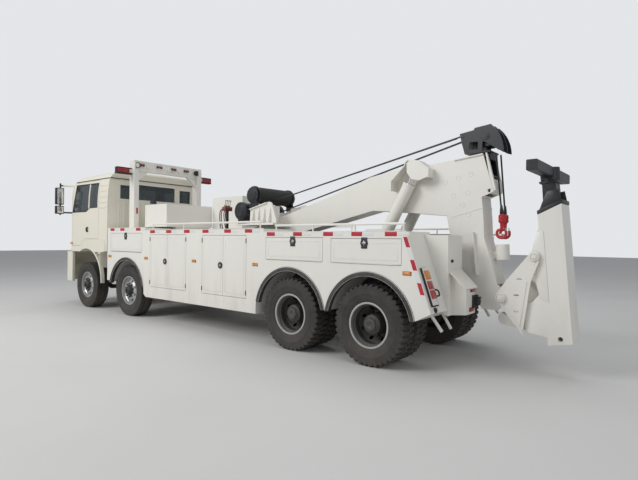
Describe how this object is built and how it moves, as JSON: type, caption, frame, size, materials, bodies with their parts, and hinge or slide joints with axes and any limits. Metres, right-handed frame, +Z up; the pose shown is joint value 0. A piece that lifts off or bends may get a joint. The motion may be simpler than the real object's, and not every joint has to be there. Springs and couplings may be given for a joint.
{
  "type": "heavy recovery truck",
  "caption": "Heavy recovery truck with a tilting cab, side lockers, a lifting boom with winch ropes, and a folding underlift arm with a crossbar at the rear.",
  "frame": {"origin": "on the ground below the middle of the truck's length, on its centre plane", "axes": "+X forward, +Y to the truck's left, +Z up"},
  "size_m": [11.367, 3, 3.3498],
  "materials": {
    "body_paint": "gloss paint",
    "cab_paint": "gloss paint",
    "boom_paint": "gloss paint",
    "frame_paint": "satin paint",
    "axle_iron": "painted casting",
    "engine_iron": "casting",
    "winch_black": "satin paint",
    "hook_red": "gloss paint",
    "rope_steel": "greased wire rope",
    "rod_chrome": "polished",
    "rim_silver": "satin paint",
    "rim_grey": "satin paint",
    "tyre": "matt",
    "window_glass": "tinted",
    "cab_trim": "matt"
  },
  "bodies": {
    "chassis": {"chassis_frame": "frame_paint", "axles": "frame_paint", "engine": "engine_iron", "front_bumper": "cab_paint", "locker_left": "body_paint", "locker_right": "body_paint", "deck": "body_paint", "gantry": "body_paint"},
    "cab": {"cab_shell": "cab_paint", "cab_glass": "window_glass", "cab_interior": "cab_trim"},
    "knuckle_axle1_left": {"knuckle_axle1_left": "axle_iron"},
    "wheel_axle1_left": {"tyre_axle1_left": "tyre", "rim_axle1_left": "rim_silver"},
    "knuckle_axle1_right": {"knuckle_axle1_right": "axle_iron"},
    "wheel_axle1_right": {"tyre_axle1_right": "tyre", "rim_axle1_right": "rim_silver"},
    "knuckle_axle2_left": {"knuckle_axle2_left": "axle_iron"},
    "wheel_axle2_left": {"tyre_axle2_left": "tyre", "rim_axle2_left": "rim_silver"},
    "knuckle_axle2_right": {"knuckle_axle2_right": "axle_iron"},
    "wheel_axle2_right": {"tyre_axle2_right": "tyre", "rim_axle2_right": "rim_silver"},
    "wheels_axle3_left": {"tyres_axle3_left": "tyre", "rims_axle3_left": "rim_grey"},
    "wheels_axle3_right": {"tyres_axle3_right": "tyre", "rims_axle3_right": "rim_grey"},
    "wheels_axle4_left": {"tyres_axle4_left": "tyre", "rims_axle4_left": "rim_grey"},
    "wheels_axle4_right": {"tyres_axle4_right": "tyre", "rims_axle4_right": "rim_grey"},
    "cab_door_left": {"cab_door_left": "cab_paint", "door_glass_left": "window_glass"},
    "cab_door_right": {"cab_door_right": "cab_paint", "door_glass_right": "window_glass"},
    "door_front_flap_left": {"door_front_flap_left": "body_paint"},
    "door_front_flap_right": {"door_front_flap_right": "body_paint"},
    "door_locker_1_front_left": {"door_locker_1_front_left": "body_paint"},
    "door_locker_1_rear_left": {"door_locker_1_rear_left": "body_paint"},
    "door_locker_1_front_right": {"door_locker_1_front_right": "body_paint"},
    "door_locker_1_rear_right": {"door_locker_1_rear_right": "body_paint"},
    "door_locker_2_front_left": {"door_locker_2_front_left": "body_paint"},
    "door_locker_2_rear_left": {"door_locker_2_rear_left": "body_paint"},
    "door_locker_2_front_right": {"door_locker_2_front_right": "body_paint"},
    "door_locker_2_rear_right": {"door_locker_2_rear_right": "body_paint"},
    "door_rear_flap_1_left": {"door_rear_flap_1_left": "body_paint"},
    "door_rear_flap_1_right": {"door_rear_flap_1_right": "body_paint"},
    "door_rear_flap_2_left": {"door_rear_flap_2_left": "body_paint"},
    "door_rear_flap_2_right": {"door_rear_flap_2_right": "body_paint"},
    "boom": {"boom": "boom_paint", "winches": "winch_black", "hooks": "hook_red", "hoist_ropes": "rope_steel"},
    "boom_extension": {"boom_extension": "boom_paint"},
    "lift_barrels": {"lift_barrels": "boom_paint"},
    "lift_rods": {"lift_rods": "rod_chrome"},
    "underlift_knuckle": {"underlift_knuckle": "boom_paint"},
    "underlift_arm": {"underlift_arm": "boom_paint"},
    "underlift_extension": {"underlift_extension": "winch_black"},
    "crossbar": {"crossbar": "winch_black"}
  },
  "joints": [
    {"name": "steer_axle1_left", "type": "hinge", "parent": "chassis", "child": "knuckle_axle1_left", "pos_m": [4.3735, 0.9, 0.53], "axis": [0, 0, 1], "range_deg": [-35, 35]},
    {"name": "roll_axle1_left", "type": "hinge", "parent": "knuckle_axle1_left", "child": "wheel_axle1_left", "pos_m": [4.3735, 1.055, 0.53], "axis": [0, 1, 0], "continuous": true},
    {"name": "steer_axle1_right", "type": "hinge", "parent": "chassis", "child": "knuckle_axle1_right", "pos_m": [4.3735, -0.9, 0.53], "axis": [0, 0, 1], "range_deg": [-35, 35]},
    {"name": "roll_axle1_right", "type": "hinge", "parent": "knuckle_axle1_right", "child": "wheel_axle1_right", "pos_m": [4.3735, -1.055, 0.53], "axis": [0, 1, 0], "continuous": true},
    {"name": "steer_axle2_left", "type": "hinge", "parent": "chassis", "child": "knuckle_axle2_left", "pos_m": [2.4865, 0.9, 0.53], "axis": [0, 0, 1], "range_deg": [-26, 26]},
    {"name": "roll_axle2_left", "type": "hinge", "parent": "knuckle_axle2_left", "child": "wheel_axle2_left", "pos_m": [2.4865, 1.055, 0.53], "axis": [0, 1, 0], "continuous": true},
    {"name": "steer_axle2_right", "type": "hinge", "parent": "chassis", "child": "knuckle_axle2_right", "pos_m": [2.4865, -0.9, 0.53], "axis": [0, 0, 1], "range_deg": [-26, 26]},
    {"name": "roll_axle2_right", "type": "hinge", "parent": "knuckle_axle2_right", "child": "wheel_axle2_right", "pos_m": [2.4865, -1.055, 0.53], "axis": [0, 1, 0], "continuous": true},
    {"name": "roll_axle3_left", "type": "hinge", "parent": "chassis", "child": "wheels_axle3_left", "pos_m": [-2.1435, 0.9125, 0.53], "axis": [0, 1, 0], "continuous": true},
    {"name": "roll_axle3_right", "type": "hinge", "parent": "chassis", "child": "wheels_axle3_right", "pos_m": [-2.1435, -0.9125, 0.53], "axis": [0, 1, 0], "continuous": true},
    {"name": "roll_axle4_left", "type": "hinge", "parent": "chassis", "child": "wheels_axle4_left", "pos_m": [-3.5165, 0.9125, 0.53], "axis": [0, 1, 0], "continuous": true},
    {"name": "roll_axle4_right", "type": "hinge", "parent": "chassis", "child": "wheels_axle4_right", "pos_m": [-3.5165, -0.9125, 0.53], "axis": [0, 1, 0], "continuous": true},
    {"name": "cab_tilt", "type": "hinge", "parent": "chassis", "child": "cab", "pos_m": [5.4535, 0, 1.31], "axis": [0, 1, 0], "range_deg": [0, 45]},
    {"name": "cab_door_left_hinge", "type": "hinge", "parent": "cab", "child": "cab_door_left", "pos_m": [5.2285, 1.222, 2.2], "axis": [0, 0, -1], "range_deg": [0, 70]},
    {"name": "cab_door_right_hinge", "type": "hinge", "parent": "cab", "child": "cab_door_right", "pos_m": [5.2285, -1.222, 2.2], "axis": [0, 0, 1], "range_deg": [0, 70]},
    {"name": "door_front_flap_left_hinge", "type": "hinge", "parent": "chassis", "child": "door_front_flap_left", "pos_m": [2.5085, 1.25, 1.344], "axis": [-1, 0, 0], "range_deg": [0, 90]},
    {"name": "door_front_flap_right_hinge", "type": "hinge", "parent": "chassis", "child": "door_front_flap_right", "pos_m": [2.5085, -1.25, 1.344], "axis": [1, 0, 0], "range_deg": [0, 90]},
    {"name": "door_locker_1_front_left_hinge", "type": "hinge", "parent": "chassis", "child": "door_locker_1_front_left", "pos_m": [1.5695, 1.25, 1.19], "axis": [0, 0, -1], "range_deg": [0, 100]},
    {"name": "door_locker_1_rear_left_hinge", "type": "hinge", "parent": "chassis", "child": "door_locker_1_rear_left", "pos_m": [0.3875, 1.25, 1.19], "axis": [0, 0, 1], "range_deg": [0, 100]},
    {"name": "door_locker_1_front_right_hinge", "type": "hinge", "parent": "chassis", "child": "door_locker_1_front_right", "pos_m": [1.5695, -1.25, 1.19], "axis": [0, 0, 1], "range_deg": [0, 100]},
    {"name": "door_locker_1_rear_right_hinge", "type": "hinge", "parent": "chassis", "child": "door_locker_1_rear_right", "pos_m": [0.3875, -1.25, 1.19], "axis": [0, 0, -1], "range_deg": [0, 100]},
    {"name": "door_locker_2_front_left_hinge", "type": "hinge", "parent": "chassis", "child": "door_locker_2_front_left", "pos_m": [-0.0905, 1.25, 1.185], "axis": [0, 0, -1], "range_deg": [0, 100]},
    {"name": "door_locker_2_rear_left_hinge", "type": "hinge", "parent": "chassis", "child": "door_locker_2_rear_left", "pos_m": [-1.2225, 1.25, 1.185], "axis": [0, 0, 1], "range_deg": [0, 100]},
    {"name": "door_locker_2_front_right_hinge", "type": "hinge", "parent": "chassis", "child": "door_locker_2_front_right", "pos_m": [-0.0905, -1.25, 1.185], "axis": [0, 0, 1], "range_deg": [0, 100]},
    {"name": "door_locker_2_rear_right_hinge", "type": "hinge", "parent": "chassis", "child": "door_locker_2_rear_right", "pos_m": [-1.2225, -1.25, 1.185], "axis": [0, 0, -1], "range_deg": [0, 100]},
    {"name": "door_rear_flap_1_left_hinge", "type": "hinge", "parent": "chassis", "child": "door_rear_flap_1_left", "pos_m": [-2.2265, 1.25, 1.324], "axis": [-1, 0, 0], "range_deg": [0, 90]},
    {"name": "door_rear_flap_1_right_hinge", "type": "hinge", "parent": "chassis", "child": "door_rear_flap_1_right", "pos_m": [-2.2265, -1.25, 1.324], "axis": [1, 0, 0], "range_deg": [0, 90]},
    {"name": "door_rear_flap_2_left_hinge", "type": "hinge", "parent": "chassis", "child": "door_rear_flap_2_left", "pos_m": [-3.4715, 1.25, 1.324], "axis": [-1, 0, 0], "range_deg": [0, 90]},
    {"name": "door_rear_flap_2_right_hinge", "type": "hinge", "parent": "chassis", "child": "door_rear_flap_2_right", "pos_m": [-3.4715, -1.25, 1.324], "axis": [1, 0, 0], "range_deg": [0, 90]},
    {"name": "boom_lift", "type": "hinge", "parent": "chassis", "child": "boom", "pos_m": [-0.3165, 0, 1.62], "axis": [0, 1, 0], "range_deg": [0, 22]},
    {"name": "lift_barrels_swing", "type": "hinge", "parent": "chassis", "child": "lift_barrels", "pos_m": [-2.9815, 0, 1.33], "axis": [0, 1, 0], "range_deg": [0, 28.5]},
    {"name": "lift_rods_stroke", "type": "slide", "parent": "lift_barrels", "child": "lift_rods", "axis": [-0.4784, 0, 0.8782], "range_m": [0, 1.01]},
    {"name": "boom_slide", "type": "slide", "parent": "boom", "child": "boom_extension", "axis": [-0.9816, 0, 0.1908], "range_m": [0, 1.5], "deforming": ["hoist_ropes"]},
    {"name": "underlift_fold", "type": "hinge", "parent": "boom", "child": "underlift_knuckle", "pos_m": [-4.8785, 0, 0.925], "axis": [0, -1, 0], "range_deg": [0, 90]},
    {"name": "underlift_tilt", "type": "hinge", "parent": "underlift_knuckle", "child": "underlift_arm", "pos_m": [-5.2685, 0, 1.447], "axis": [0, 1, 0], "range_deg": [-3, 8]},
    {"name": "underlift_slide", "type": "slide", "parent": "underlift_arm", "child": "underlift_extension", "axis": [0.0823, 0, 0.9966], "range_m": [0, 1]},
    {"name": "crossbar_swivel", "type": "hinge", "parent": "underlift_extension", "child": "crossbar", "pos_m": [-5.37353, 0, 2.48041], "axis": [0.0823, 0, 0.9966], "range_deg": [-30, 30]}
  ],
  "couplings": [
    {"joint": "steer_axle1_right", "follows": "steer_axle1_left", "ratio": 1},
    {"joint": "steer_axle2_left", "follows": "steer_axle1_left", "ratio": 0.74},
    {"joint": "steer_axle2_right", "follows": "steer_axle1_left", "ratio": 0.74},
    {"joint": "lift_barrels_swing", "follows": "boom_lift", "ratio": 1.26},
    {"joint": "lift_rods_stroke", "follows": "boom_lift", "m_per_rad": 2.57}
  ]
}
